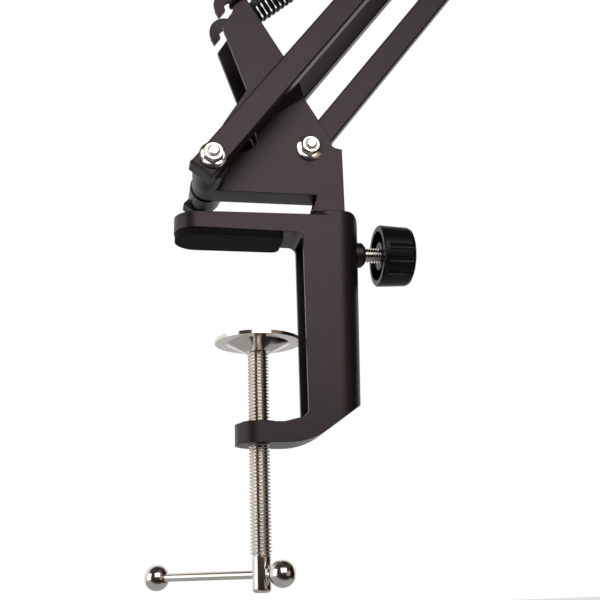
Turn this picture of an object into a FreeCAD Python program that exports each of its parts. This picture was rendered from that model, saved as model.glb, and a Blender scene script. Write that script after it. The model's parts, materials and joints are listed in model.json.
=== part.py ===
import FreeCAD, Part
import os
import re
import Sketcher

# A desk-clamp microphone boom arm. Origin: on the clamp screw's axis, in the plane of the rubber
# pad's underside, which rests on the desk top. +Z is up, +X points from the jaws to the spine of
# the clamp, and +Y goes through its depth. "near" is the -Y side and "far" the +Y side.
# The arm's bars leave their pivots along a lean, an angle from +X towards +Z.

DIMENSIONS = [
    # C-clamp
    ("clamp_depth", 18.4), ("pad_thickness", 3.0), ("pad_end", 9.8), ("pad_inset", 0.3),
    ("jaw_thickness", 7.0), ("jaw_taper", 0.8), ("jaw_tip", -31.9), ("tip_radius", 9.1),
    ("spine_inner", 17.1), ("spine_outer", 40.7), ("spine_draft", 2.7), ("shoulder_radius", 4.5),
    ("lower_jaw_top", -70.9), ("lower_jaw_thickness", 7.5), ("lower_jaw_tip", -9.0),
    ("throat_radius", 3.0), ("throat_run", 9.0), ("throat_rise", 2.2),
    ("heel_x", 17.5), ("heel_z", -63.6), ("heel_radius", 25.0),
    ("recess_width", 14.4), ("recess_depth", 5.0), ("recess_top", 1.0), ("recess_bottom", -67.5),
    ("post_x", 29.0), ("boss_radius", 9.2), ("boss_height", 1.9), ("collar_radius", 7.0),
    ("collar_height", 0.8), ("edge_round", 1.2),
    # clamp screw, disc and tommy bar
    ("screw_radius", 4.0), ("screw_end", -129.6), ("plain_top", -117.2), ("plain_radius", 3.4),
    ("neck_radius", 2.0), ("disc_radius", 16.2), ("disc_under", -40.1), ("disc_sheet", 1.3),
    ("dish_radius", 11.8), ("dish_floor_radius", 5.0), ("dish_depth", 3.4),
    ("tommy_z", -123.4), ("tommy_radius", 1.5), ("tommy_span", 56.8), ("tommy_turn", -42.6),
    ("ball_radius", 4.75), ("running", 0.05),
    # lock knob
    ("lock_z", -3.2), ("lock_boss_radius", 5.0), ("lock_boss_end", 43.0), ("stud_radius", 3.0),
    ("tip_length", 2.0), ("knob_start", 48.5), ("knob_length", 13.4), ("knob_radius", 12.3),
    ("knob_draft", 0.5), ("knob_grip", 9.0),
    ("flute_radius", 1.4), ("knob_wall", 2.4), ("knob_hollow", 6.0), ("hub_radius", 5.6),
    # swivel post and base bracket
    ("post_radius", 5.0), ("post_depth", 26.0), ("flange_radius", 6.6), ("flange_height", 0.9),
    ("spigot_top", 26.0), ("sheet", 1.8), ("channel_half", 5.4), ("tail_half", 10.9),
    ("outer_pivot_x", -18.9), ("outer_pivot_z", 25.7), ("inner_pivot_x", 21.5),
    ("inner_pivot_z", 39.9), ("lobe_radius", 6.0), ("hook_x", -10.6), ("hook_z", 100.0),
    ("hook_radius", 6.9), ("slot_half", 1.8), ("joggle_run", 6.5), ("leg_half", 5.9),
    ("window_x", 12.3), ("window_z", 17.8), ("window_radius", 6.8),
    # bars, bolts and springs
    ("arm_length", 350.0), ("lower_lean", 52.7), ("upper_lean", 150.0), ("bar_height", 10.0),
    ("bar_depth", 7.0), ("bar_wall", 1.0), ("bar_overhang", 6.2), ("outer_bar_inside", 16.2),
    ("bar_corner", 0.8), ("bolt_radius", 2.0), ("sleeve_radius", 3.0), ("spacer_radius", 6.5),
    ("nut_flange_radius", 4.9), ("nut_across_corners", 7.8), ("nut_height", 4.2),
    ("bolt_tail", 1.2), ("bolt_head_radius", 3.9), ("bolt_head_height", 2.8),
    ("spring_radius", 5.0), ("wire_radius", 0.62), ("spring_plane", 9.9), ("loop_length", 11.0),
    ("hook_spread", 2.2), ("lower_anchor", 250.0), ("upper_anchor", 235.0), ("pin_radius", 1.5),
    ("plug_cap", 1.2), ("plug_stub", 2.5),
    # elbow bracket, measured from its own lower outer pivot
    ("elbow_upper_x", 34.0), ("elbow_upper_z", 40.0), ("elbow_hook_x", 30.0),
    ("elbow_hook_z", 92.0), ("upper_pitch_x", -9.6), ("upper_pitch_z", 26.3),
    # head, measured from the upper outer bars' far pivot
    ("tilt_x", -30.0), ("tilt_z", 6.0), ("tilt_block_radius", 6.5), ("stem_length", 17.0),
    ("stem_radius", 3.2), ("seat_radius", 7.0), ("seat_height", 3.0), ("mic_stud_radius", 7.94),
    ("mic_stud_length", 12.0), ("tilt_knob_radius", 9.0), ("tilt_knob_height", 8.0),
    ("scallop_radius", 3.4),
]

ALIASES = {name for name, value in DIMENSIONS}
FLUTE_GROUPS = 3
FLUTES_IN_GROUP = 3
FLUTE_STEP = 25.0
FIRST_FLUTE = -65.0
SCALLOPS = 6
SIDES = {"near": -1, "far": 1}

# Points that several sub-parts share, as expressions in the sheet's names
JAW_TOP = "(pad_thickness + jaw_thickness)"
BOSS_TOP = "(pad_thickness + jaw_thickness + boss_height)"
LOWER_BOTTOM = "(lower_jaw_top - lower_jaw_thickness)"
SPINE_LEAN = f"atan(spine_draft / ({BOSS_TOP} - {LOWER_BOTTOM}))"
SPIGOT_BASE = "(pad_thickness + jaw_thickness + boss_height + flange_height)"
BRACKET_FLOOR = "(outer_pivot_z - lobe_radius)"
PITCH_X = "(inner_pivot_x - outer_pivot_x)"
PITCH_Z = "(inner_pivot_z - outer_pivot_z)"
ELBOW_X = "(outer_pivot_x + arm_length * cos(lower_lean))"
ELBOW_Z = "(outer_pivot_z + arm_length * sin(lower_lean))"
UPPER_X = f"({ELBOW_X} + elbow_upper_x)"
UPPER_Z = f"({ELBOW_Z} + elbow_upper_z)"
HEAD_X = f"({UPPER_X} + arm_length * cos(upper_lean))"
HEAD_Z = f"({UPPER_Z} + arm_length * sin(upper_lean))"
TILT_X = f"({HEAD_X} + tilt_x)"
TILT_Z = f"({HEAD_Z} + tilt_z)"
BAR_OUTSIDE = "(outer_bar_inside + bar_depth)"
SLIP = 0.1

# How far a drill reaches to each side of the middle plane, and the size of a cutting slab
DRILL = "20"
SLAB = "100"

doc = FreeCAD.newDocument("BoomArm")
nodes = []


def formula(text):
    """The text with every name of the sheet written as a reference to its cell."""
    return re.sub(
        r"[a-z]\w*", lambda word: "Dimensions." + word[0] if word[0] in ALIASES else word[0], text
    )


def bind(item, **sizes):
    """Bind the item's properties to formulas. Radius="screw_radius" and so on."""
    for name, text in sizes.items():
        item.setExpression(name, formula(text))
    return item


def place(item, x="0", y="0", z="0", axis=None, angle="0"):
    """Bind the item's position, and its turn about a fixed axis, to formulas."""
    if axis is not None:
        item.Placement = FreeCAD.Placement(
            FreeCAD.Vector(), FreeCAD.Rotation(FreeCAD.Vector(*axis), 10)
        )
        item.setExpression("Placement.Rotation.Angle", formula(angle))
    for letter, text in (("x", x), ("y", y), ("z", z)):
        item.setExpression("Placement.Base." + letter, formula(text))
    return item


def add(kind, name):
    return doc.addObject(kind, name)


def node(item, label):
    """Name a finished sub-part and put it on the list that is written out."""
    item.Label = label
    nodes.append(item)
    return item


def fuse(name, *items):
    item = add("Part::MultiFuse", name)
    item.Shapes = list(items)
    item.Refine = True
    return item


def common(name, base, tool):
    item = add("Part::Common", name)
    item.Base = base
    item.Tool = tool
    return item


def cut(name, base, *tools):
    item = add("Part::Cut", name)
    item.Base = base
    item.Tool = tools[0] if len(tools) == 1 else fuse(name + "_tools", *tools)
    item.Refine = True
    return item


def group(name, *items):
    item = add("Part::Compound", name)
    item.Links = list(items)
    return item


def block(name, length, width, height, x, y, z):
    item = bind(add("Part::Box", name), Length=length, Width=width, Height=height)
    return place(item, x, y, z)


def rod_z(name, radius, height, x, y, z):
    item = bind(add("Part::Cylinder", name), Radius=radius, Height=height)
    return place(item, x, y, z)


def rod_y(name, radius, start, end, x, z):
    """A cylinder along +Y from start to end."""
    item = bind(add("Part::Cylinder", name), Radius=radius, Height=f"{end} - ({start})")
    return place(item, x, start, z, axis=(1, 0, 0), angle="-90")


def rod_x(name, radius, start, end, y, z):
    """A cylinder along +X from start to end."""
    item = bind(add("Part::Cylinder", name), Radius=radius, Height=f"{end} - ({start})")
    return place(item, start, y, z, axis=(0, 1, 0), angle="90")


def sketch_outline(body, plane, name, corners):
    """A closed sketch of straight sides whose corners are bound to pairs of formulas."""
    sketch = body.newObject("Sketcher::SketchObject", name)
    origin = [face for face in body.Origin.OriginFeatures if face.Role == plane][0]
    sketch.AttachmentSupport = [(origin, "")]
    sketch.MapMode = "FlatFace"
    values = [[number(text) for text in corner] for corner in corners]
    points = [FreeCAD.Vector(u, v, 0) for u, v in values]
    for index, point in enumerate(points):
        sketch.addGeometry(Part.LineSegment(point, points[(index + 1) % len(points)]), False)
    for index in range(len(points)):
        following = (index + 1) % len(points)
        sketch.addConstraint(Sketcher.Constraint("Coincident", index, 2, following, 1))
    for index, corner in enumerate(corners):
        for kind, text, value in zip(("DistanceX", "DistanceY"), corner, values[index]):
            place_in_row = sketch.addConstraint(Sketcher.Constraint(kind, -1, 1, index, 1, value))
            sketch.setExpression(f"Constraints[{place_in_row}]", formula(text))
    return sketch


def number(text):
    """What a formula of the sheet comes to, for a sketch's first guess."""
    probe = doc.getObject("Probe")
    probe.setExpression("Placement.Base.x", formula(text))
    probe.recompute()
    return probe.Placement.Base.x


def prism(name, plane, corners, depth, middle=True, upwards=True):
    """A padded outline: centred on its plane, or on one side of it."""
    body = add("PartDesign::Body", name)
    sketch = sketch_outline(body, plane, name + "_outline", corners)
    pad = body.newObject("PartDesign::Pad", name + "_pad")
    pad.Profile = sketch
    pad.Midplane = middle
    pad.Reversed = not upwards
    bind(pad, Length=depth)
    body.Tip = pad
    doc.recompute()
    return body


def round_edges(body, name, radius, wanted):
    """Fillet the tip's edges whose middle point the test accepts."""
    base = body.Tip
    chosen = []
    for index, edge in enumerate(base.Shape.Edges):
        middle = edge.valueAt((edge.FirstParameter + edge.LastParameter) / 2)
        if wanted(middle, edge):
            chosen.append(f"Edge{index + 1}")
    fillet = body.newObject("PartDesign::Fillet", name)
    fillet.Base = (base, chosen)
    bind(fillet, Radius=radius)
    body.Tip = fillet
    doc.recompute()
    return fillet


def near_to(value, target):
    return abs(value - target) < 0.05


def turned(name, corners):
    """A solid of revolution about Z, from an outline of (radius, height) corners."""
    body = add("PartDesign::Body", name)
    sketch = sketch_outline(body, "XZ_Plane", name + "_outline", corners)
    solid = body.newObject("PartDesign::Revolution", name + "_turn")
    solid.Profile = sketch
    solid.ReferenceAxis = (sketch, ["V_Axis"])
    solid.Angle = 360.0
    body.Tip = solid
    doc.recompute()
    return body


# ---------------------------------------------------------------- clamp


def clamp_frame():
    profile = prism(
        "FrameProfile", "XZ_Plane",
        [
            ("jaw_tip", "pad_thickness"),
            ("spine_inner", "pad_thickness - jaw_taper"),
            ("spine_inner", "lower_jaw_top + throat_rise"),
            ("spine_inner - throat_run", "lower_jaw_top"),
            ("lower_jaw_tip", "lower_jaw_top"),
            ("lower_jaw_tip", LOWER_BOTTOM),
            ("heel_x", LOWER_BOTTOM),
            (f"spine_outer - ({BOSS_TOP} - heel_z) * tan({SPINE_LEAN})", "heel_z"),
            ("spine_outer", BOSS_TOP),
            ("post_x", BOSS_TOP),
            ("post_x", JAW_TOP),
            ("jaw_tip", JAW_TOP + " - jaw_taper"),
        ],
        "clamp_depth",
    )
    half = number("clamp_depth") / 2
    inner = number("spine_inner")
    outer = number("spine_outer")

    def is_at(middle, x=None, z=None):
        return near_to(middle.y, 0) and (x is None or near_to(middle.x, x)) and (
            z is None or near_to(middle.z, z))

    def tip_edge(middle, edge):
        tips = (number("jaw_tip"), number("lower_jaw_tip"))
        return near_to(abs(middle.y), half) and any(near_to(middle.x, tip) for tip in tips)

    round_edges(profile, "TipRounds", "tip_radius", tip_edge)
    for name, radius, x, z in (
        ("ThroatRounds", "throat_radius", inner, None),
        ("HeelRound", "heel_radius", number("heel_x"), number(LOWER_BOTTOM)),
        ("HeelCorner", "edge_round", None, number("heel_z")),
        ("ShoulderRound", "shoulder_radius", outer, number(BOSS_TOP)),
    ):
        round_edges(profile, name, radius, lambda middle, edge: is_at(middle, x, z))

    # the spine's outer side is rounded in plan, and leans in towards the bottom
    back = prism(
        "SpinePlan", "XY_Plane",
        [
            ("-" + SLAB, "-clamp_depth / 2"),
            ("spine_outer", "-clamp_depth / 2"),
            ("spine_outer", "clamp_depth / 2"),
            ("-" + SLAB, "clamp_depth / 2"),
        ],
        "3 * " + SLAB,
    )

    def back_edge(middle, edge):
        return near_to(middle.x, outer) and near_to(abs(middle.y), half)

    round_edges(back, "SpineRounds", "tip_radius", back_edge)
    place(
        back, x=f"spine_outer * (1 - cos({SPINE_LEAN}))",
        z=f"{BOSS_TOP} + spine_outer * sin({SPINE_LEAN})", axis=(0, 1, 0), angle=SPINE_LEAN,
    )
    body = common("FrameBody", profile, back)

    # the swivel's seat is round towards the jaw and runs into the spine's raised top
    seat = common(
        "PostSeat",
        rod_z("PostSeatDisc", "boss_radius", "boss_height + 1", "post_x", "0", JAW_TOP + " - 1"),
        block("PostSeatHalf", "boss_radius + 1", "2 * boss_radius", "boss_height + 1",
              "post_x - boss_radius", "-boss_radius", JAW_TOP + " - 1"),
    )
    collar = rod_z("ScrewCollar", "collar_radius", "collar_height + 1", "0", "0", "lower_jaw_top - 1")
    side_boss = rod_x("LockBoss", "lock_boss_radius", "post_x", "lock_boss_end - edge_round", "0",
                      "lock_z")
    nose = bind(add("Part::Cone", "LockBossNose"), Radius1="lock_boss_radius",
                Radius2="lock_boss_radius - edge_round", Height="edge_round")
    place(nose, "lock_boss_end - edge_round", "0", "lock_z", axis=(0, 1, 0), angle="90")
    solid = fuse("FrameSolid", body, seat, collar, side_boss, nose)

    recess = block(
        "SpineRecess", "recess_depth + 1", "recess_width", "recess_top - recess_bottom",
        "spine_inner - 1", "-recess_width / 2", "recess_bottom",
    )
    post_hole = rod_z(
        "PostHole", "post_radius + running", "post_depth + 2", "post_x", "0",
        BOSS_TOP + " - post_depth - 1",
    )
    screw_hole = rod_z("ScrewHole", "screw_radius + running", DRILL, "0", "0", "lower_jaw_top - 14")
    lock_hole = rod_x("LockHole", "stud_radius + running", "post_x", "lock_boss_end + 1", "0", "lock_z")
    node(cut("ClampFrame", solid, recess, post_hole, screw_hole, lock_hole), "clamp_frame")


def jaw_pad():
    """The pad under the upper jaw: flat below, and cut above to the jaw's taper."""
    start = "(jaw_tip + pad_inset)"
    slope = "jaw_taper / (spine_inner - jaw_tip)"
    pad = prism(
        "JawPad", "XZ_Plane",
        [
            (start, "0"),
            ("pad_end", "0"),
            ("pad_end", f"pad_thickness - (pad_end - jaw_tip) * {slope}"),
            (start, f"pad_thickness - pad_inset * {slope}"),
        ],
        "clamp_depth - 2 * pad_inset",
    )
    side = number("clamp_depth / 2 - pad_inset")
    for name, radius, end in (("PadTipRounds", "tip_radius - pad_inset", number(start)),
                              ("PadEndRounds", "throat_radius", number("pad_end"))):
        round_edges(pad, name, radius, lambda middle, edge: near_to(middle.x, end)
                    and near_to(abs(middle.y), side))
    node(pad, "jaw_pad")


def clamp_screw():
    shank = rod_z("ScrewShank", "screw_radius", "disc_under - dish_depth - plain_top - 0.1", "0", "0",
                  "plain_top")
    plain = rod_z("ScrewPlain", "plain_radius", "plain_top - screw_end", "0", "0", "screw_end")
    neck = rod_z("ScrewNeck", "neck_radius", "disc_sheet + 0.5", "0", "0",
                 "disc_under - dish_depth - 0.1")
    head = rod_z("ScrewHead", "neck_radius + 1.2", "0.9", "0", "0",
                 "disc_under - dish_depth + disc_sheet + 0.1")
    chamfered = add("Part::Chamfer", "ScrewPlainEnd")
    chamfered.Base = plain
    chamfered.Edges = [(3, 0.8, 0.8)]
    solid = fuse("ScrewSolid", shank, chamfered, neck, head)
    hole = rod_x("TommyHole", "tommy_radius + running", "-6", "6", "0", "tommy_z")
    turned_hole = place(group("TommyHoleTurned", hole), axis=(0, 0, 1), angle="tommy_turn")
    node(cut("ClampScrew", solid, turned_hole), "clamp_screw")


def pressure_disc():
    bottom = "disc_under - dish_depth"
    disc = turned(
        "PressureDisc",
        [
            ("neck_radius + running", bottom),
            ("dish_floor_radius", bottom),
            ("dish_radius", "disc_under"),
            ("disc_radius", "disc_under"),
            ("disc_radius", "disc_under + disc_sheet"),
            ("dish_radius - 0.5", "disc_under + disc_sheet"),
            ("dish_floor_radius - 0.5", bottom + " + disc_sheet"),
            ("neck_radius + running", bottom + " + disc_sheet"),
        ],
    )
    node(disc, "pressure_disc")


def tommy_bar():
    """The bar lies pushed through the screw until one ball touches it."""
    touching = "(screw_radius + ball_radius)"
    rod = rod_x("TommyRod", "tommy_radius", touching + " - tommy_span - 2", touching + " + 2", "0",
                "tommy_z")
    node(place(group("TommyBar", rod), axis=(0, 0, 1), angle="tommy_turn"), "t_bar")
    for label, centre in (("left", touching + " - tommy_span"), ("right", touching)):
        ball = bind(add("Part::Sphere", f"Ball_{label}"), Radius="ball_radius")
        place(ball, centre, "0", "tommy_z")
        bore = rod_x(f"BallBore_{label}", "tommy_radius", touching + " - tommy_span - 2",
                     touching + " + 2", "0", "tommy_z")
        drilled = cut(f"BallDrilled_{label}", ball, bore)
        node(place(group(f"TommyBall_{label}", drilled), axis=(0, 0, 1), angle="tommy_turn"),
             f"t_bar_ball_{label}")


def lock_screw():
    tip_start = "(post_x + post_radius)"
    tip_end = "(post_x + post_radius + tip_length)"
    tip = rod_x("LockTip", "stud_radius - 0.6", tip_start, tip_end, "0", "lock_z")
    node(tip, "lock_tip")
    stud = rod_x("LockStud", "stud_radius", tip_end, "knob_start + knob_grip", "0", "lock_z")
    node(stud, "lock_stud")

    knob = turned(
        "KnobBlank",
        [
            ("stud_radius", "0.8"),
            ("hub_radius", "0.8"),
            ("hub_radius + 0.5", "knob_hollow"),
            ("knob_radius - knob_wall - 0.5", "knob_hollow"),
            ("knob_radius - knob_wall", "0"),
            ("knob_radius - 0.6", "0"),
            ("knob_radius", "0.6"),
            ("knob_radius - knob_draft", "knob_length - 2.0"),
            ("knob_radius - knob_draft - 0.6", "knob_length - 0.7"),
            ("knob_radius - knob_draft - 2.0", "knob_length"),
            ("0", "knob_length"),
            ("0", "knob_grip"),
            ("stud_radius", "knob_grip"),
        ],
    )
    flutes = []
    for group_index in range(FLUTE_GROUPS):
        for flute_index in range(FLUTES_IN_GROUP):
            turn = FIRST_FLUTE + 360 / FLUTE_GROUPS * group_index + FLUTE_STEP * (flute_index - 1)
            flute = rod_z(f"Flute_{group_index}_{flute_index}", "flute_radius", "knob_length",
                          f"(knob_radius + 0.2) * cos({turn})", f"(knob_radius + 0.2) * sin({turn})",
                          "2.2")
            flutes.append(flute)
    fluted = cut("KnobFluted", knob, *flutes)
    node(
        place(group("LockKnob", fluted), "knob_start", "0", "lock_z", axis=(0, 1, 0), angle="90"),
        "lock_knob",
    )


# ---------------------------------------------------------------- shared pieces of the arm


def joggled_sheets(name, x, z, rise):
    """Two plates that stand close together below a slanted line and further apart above it."""
    plates = []
    reach = "1.5 * " + SLAB
    for side, sign in SIDES.items():
        inner, outer = f"{sign} * (channel_half - sheet)", f"{sign} * channel_half"
        tail_inner, tail_outer = f"{sign} * (tail_half - sheet)", f"{sign} * tail_half"
        corners = [
            ("-" + reach, inner), ("0", inner), ("joggle_run", tail_inner), (reach, tail_inner),
            (reach, tail_outer), ("joggle_run - sheet / 3", tail_outer), ("-sheet / 3", outer),
            ("-" + reach, outer),
        ]
        if sign > 0:
            corners = corners[::-1]
        plate = prism(f"{name}_{side}", "XY_Plane", corners, "2.6 * " + SLAB)
        place(plate, x, "0", z, axis=(0, 1, 0), angle=f"-(90 + {rise})")
        plates.append(plate)
    return fuse(name, *plates)


def flat_sheets(name):
    """Two parallel plates a channel apart, large enough for any outline."""
    plates = []
    for side, sign in SIDES.items():
        low = "-channel_half" if sign < 0 else "channel_half - sheet"
        plates.append(block(f"{name}_{side}", "2 * " + SLAB, "sheet", "2 * " + SLAB, "-" + SLAB, low,
                            "-" + SLAB))
    return fuse(name, *plates)


def bolt(name, half_length, x, z):
    """A bolt along Y: its head is on the far side and its tail stands out of the near side's nut."""
    shank = rod_y(name + "_shank", "bolt_radius", f"-({half_length}) - nut_height - bolt_tail",
                  half_length, x, z)
    flange = rod_y(name + "_flange", "bolt_head_radius + 1", half_length, f"{half_length} + 1", x, z)
    head = hexagon(name + "_head", "bolt_head_height", f"{half_length}", x, z)
    return fuse(name, shank, flange, head)


def hexagon(name, height, start, x, z):
    item = add("Part::Prism", name)
    item.Polygon = 6
    bind(item, Circumradius="nut_across_corners / 2", Height=height)
    return place(item, x, start, z, axis=(1, 0, 0), angle="-90")


def nut(name, half_length, x, z):
    """A flanged hexagon nut on the near side."""
    flange = rod_y(name + "_flange", "nut_flange_radius", f"-({half_length}) - 1",
                   f"-({half_length})", x, z)
    hexagon_part = hexagon(name + "_hex", "nut_height", f"-({half_length}) - nut_height", x, z)
    hole = rod_y(name + "_hole", "bolt_radius", f"-({half_length}) - nut_height - 1",
                 f"1 - ({half_length})", x, z)
    return cut(name, fuse(name + "_solid", flange, hexagon_part), hole)


def tube(name, radius, start, end, x, z):
    outer = rod_y(name + "_outer", radius, start, end, x, z)
    hole = rod_y(name + "_hole", "bolt_radius", start + " - 1", end + " + 1", x, z)
    return cut(name, outer, hole)


def outer_spacers(name, x, z):
    """The two sleeves that hold the outer bars away from a bracket."""
    pieces = []
    for side, sign in SIDES.items():
        ends = ("channel_half", f"outer_bar_inside - {SLIP}")
        start, end = ends if sign > 0 else (f"-({ends[1]})", f"-({ends[0]})")
        pieces.append(tube(f"{name}_{side}", "spacer_radius", start, end, x, z))
    return pieces


def inner_sleeve(name, x, z):
    """The sleeve between a bracket's plates on an outer bars' bolt."""
    return tube(name, "sleeve_radius", "-channel_half + sheet", "channel_half - sheet", x, z)


def bar_tube(name, low_y, holes):
    """A rectangular tube along +X from its first pivot, with bolt holes through its sides."""
    length = "arm_length + 2 * bar_overhang"
    shell = block(name + "_shell", length, "bar_depth", "bar_height", "-bar_overhang", low_y,
                  "-bar_height / 2")
    rounded = add("Part::Fillet", name + "_rounded")
    rounded.Base = shell
    doc.recompute()
    corner = number("bar_corner")
    long_edges = [
        index + 1 for index, edge in enumerate(shell.Shape.Edges)
        if near_to(edge.Length, number(length))
    ]
    rounded.Edges = [(index, corner, corner) for index in long_edges]
    bore = block(
        name + "_bore", length + " + 2", "bar_depth - 2 * bar_wall", "bar_height - 2 * bar_wall",
        "-bar_overhang - 1", f"{low_y} + bar_wall", "bar_wall - bar_height / 2",
    )
    drills = [
        rod_y(f"{name}_drill{index}", radius, f"{low_y} - 1", f"{low_y} + bar_depth + 1", at, "0")
        for index, (at, radius) in enumerate(holes)
    ]
    return cut(name, rounded, bore, *drills)


def end_plugs(name, low_y):
    """The two plugs that close a bar's ends: a cap, and a short stub inside the tube."""
    plugs = []
    starts = ("-bar_overhang - plug_cap", "arm_length + bar_overhang")
    stubs = ("-bar_overhang", "arm_length + bar_overhang - plug_stub")
    for index in range(2):
        cap = block(f"{name}_cap{index}", "plug_cap", "bar_depth", "bar_height", starts[index], low_y,
                    "-bar_height / 2")
        stub = block(f"{name}_stub{index}", "plug_stub", "bar_depth - 2 * bar_wall",
                     "bar_height - 2 * bar_wall", stubs[index], f"{low_y} + bar_wall",
                     "bar_wall - bar_height / 2")
        plugs.append(fuse(f"{name}_plug{index}", cap, stub))
    return plugs


def lean_from(item, x, z, lean):
    """Set a bar that was built along +X on its pivot at its lean."""
    return place(item, x, "0", z, axis=(0, 1, 0), angle=f"-({lean})")


def arm_section(section, x, z, inner_x, inner_z, lean, anchor):
    """Two outer bars, one inner bar, their plugs, and the pin that the springs pull on."""
    pivot_hole = "bolt_radius + running"
    inner_holes = [("0", pivot_hole), ("arm_length", pivot_hole)]
    outer_holes = inner_holes + [(anchor, "pin_radius")]
    plugs = []
    for side, sign in SIDES.items():
        low = "outer_bar_inside" if sign > 0 else f"-{BAR_OUTSIDE}"
        bar = bar_tube(f"{section}_bar_{side}_tube", low, outer_holes)
        node(lean_from(group(f"{section}_{side}", bar), x, z, lean), f"{section}_bar_{side}")
        plugs += end_plugs(f"{section}_{side}", low)
    node(lean_from(group(f"{section}_plugs", *plugs), x, z, lean), f"{section}_bar_plugs")

    bar = bar_tube(f"{section}_inner_tube", "-bar_depth / 2", inner_holes)
    node(lean_from(group(f"{section}_inner", bar), inner_x, inner_z, lean), f"{section}_inner_bar")
    plugs = end_plugs(f"{section}_inner", "-bar_depth / 2")
    node(lean_from(group(f"{section}_inner_plugs", *plugs), inner_x, inner_z, lean),
         f"{section}_inner_plugs")

    pin = rod_y(f"{section}_pin_rod", "pin_radius", f"-{BAR_OUTSIDE} - 0.6", f"{BAR_OUTSIDE} + 0.6",
                anchor, "0")
    node(lean_from(group(f"{section}_pin", pin), x, z, lean), f"{section}_spring_pin")


def springs(section, hook_x, hook_z, x, z, lean, anchor):
    """Two extension springs as plain tubes, each with a hook across its plate and an end ring."""
    run_x = f"({x} + {anchor} * cos({lean}) - {hook_x})"
    run_z = f"({z} + {anchor} * sin({lean}) - {hook_z})"
    length = f"sqrt({run_x} ^ 2 + {run_z} ^ 2)"
    coil_end = f"{length} - loop_length"
    ring_radius = "pin_radius + 2 * wire_radius"
    for side, sign in SIDES.items():
        middle = f"{sign} * spring_plane"
        name = f"{section}_spring_{side}"
        outer = rod_x(name + "_coils", "spring_radius", "loop_length", coil_end, middle, "0")
        bore = rod_x(name + "_bore", "spring_radius - 2 * wire_radius", "loop_length + 1.2",
                     coil_end + " - 1.2", middle, "0")
        wires = []
        for wire, offset in (("inner", "-hook_spread"), ("outer", "hook_spread")):
            wires.append(rod_x(f"{name}_hook_{wire}", "wire_radius", "0", "loop_length + 1",
                               f"{middle} + ({offset})", "0"))
        wires.append(rod_y(name + "_seat", "wire_radius", f"{middle} - hook_spread",
                           f"{middle} + hook_spread", "0", "0"))
        wires.append(rod_x(name + "_end_wire", "wire_radius", coil_end + " - 1",
                           f"{length} - ({ring_radius})", middle, "0"))
        ring = bind(add("Part::Torus", name + "_ring"), Radius1=ring_radius, Radius2="wire_radius")
        wires.append(place(ring, length, middle, "0", axis=(1, 0, 0), angle="90"))
        solid = fuse(name + "_solid", cut(name + "_body", outer, bore), *wires)
        node(
            place(group(name + "_placed", solid), hook_x, "0", hook_z, axis=(0, 1, 0),
                  angle=f"-atan2({run_z}; {run_x})"),
            name,
        )


# ---------------------------------------------------------------- base bracket


def hook_corners():
    """The hook at the top of a bracket's tail, from the slot's mouth round to the right edge."""
    slot = [(-3.2, -10.1), (0.7, -3.6), (1.5, -0.9), (0.9, 1.3), (-0.7, 1.8), (-2.1, 0.6),
            (-2.5, -1.0), (-2.0, -2.5)]
    beak = [(-4.5, -6.1), (-6.0, -3.4)]
    shoulder = [(3.6, 6.4), (6.8, 3.4)]
    corners = [(f"hook_x + ({x})", f"hook_z + ({z})") for x, z in slot + beak]
    for turn in range(185, 84, -10):
        corners.append((f"hook_x + 0.2 + hook_radius * cos({turn})",
                        f"hook_z + 0.3 + hook_radius * sin({turn})"))
    return corners + [(f"hook_x + {x}", f"hook_z + {z}") for x, z in shoulder]


def base_bracket():
    leg_left = "post_x - 5"
    leg_right = "post_x + leg_half"
    outline = prism(
        "BracketOutline", "XZ_Plane",
        [
            ("outer_pivot_x", BRACKET_FLOOR),
            (leg_left, BRACKET_FLOOR),
            ("post_x - 7", SPIGOT_BASE),
            (leg_right, SPIGOT_BASE),
            (leg_right, "inner_pivot_z + 0.3"),
            ("inner_pivot_x + 10.6", "inner_pivot_z + 0.8"),
            ("inner_pivot_x + 9.4", "inner_pivot_z + 1.6"),
            ("inner_pivot_x + 8.6", "inner_pivot_z + 5.3"),
        ] + hook_corners()[::-1] + [
            ("outer_pivot_x + 14.9", "outer_pivot_z + 36"),
            ("outer_pivot_x - 4.9", "outer_pivot_z + 3.5"),
            ("outer_pivot_x - 4.2", "outer_pivot_z - 4.2"),
        ],
        "2 * " + DRILL,
    )
    lobe = rod_y("BracketLobe", "lobe_radius", "-" + DRILL, DRILL, "outer_pivot_x", "outer_pivot_z")
    whole = fuse("BracketSilhouette", outline, lobe)
    plates = common("BracketPlates", whole, joggled_sheets("BracketSheets", "3", "51", "36"))
    floor = block("BracketFloor", "post_x - 5 - outer_pivot_x", "2 * (channel_half - sheet)",
                  "sheet", "outer_pivot_x", "sheet - channel_half", BRACKET_FLOOR)
    ring = rod_y("LobeRing", "lobe_radius", "sheet - channel_half", "channel_half - sheet",
                 "outer_pivot_x", "outer_pivot_z")
    ring_bore = rod_y("LobeRingBore", "lobe_radius - sheet", "-" + DRILL, DRILL, "outer_pivot_x",
                      "outer_pivot_z")
    ring_open = block("LobeRingOpening", DRILL, "2 * " + DRILL, "2 * " + DRILL, "outer_pivot_x",
                      "-" + DRILL, "outer_pivot_z - " + DRILL)
    web = cut("LobeWeb", ring, ring_bore, ring_open)
    solid = fuse("BracketSolid", plates, floor, web)
    holes = [
        rod_y("BracketHole1", "bolt_radius", "-" + DRILL, DRILL, "outer_pivot_x", "outer_pivot_z"),
        rod_y("BracketHole2", "bolt_radius", "-" + DRILL, DRILL, "inner_pivot_x", "inner_pivot_z"),
        rod_y("BracketWindow", "window_radius", "-" + DRILL, DRILL, "outer_pivot_x + window_x",
              "outer_pivot_z + window_z"),
    ]
    node(cut("BaseBracket", solid, *holes), "base_bracket")


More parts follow.
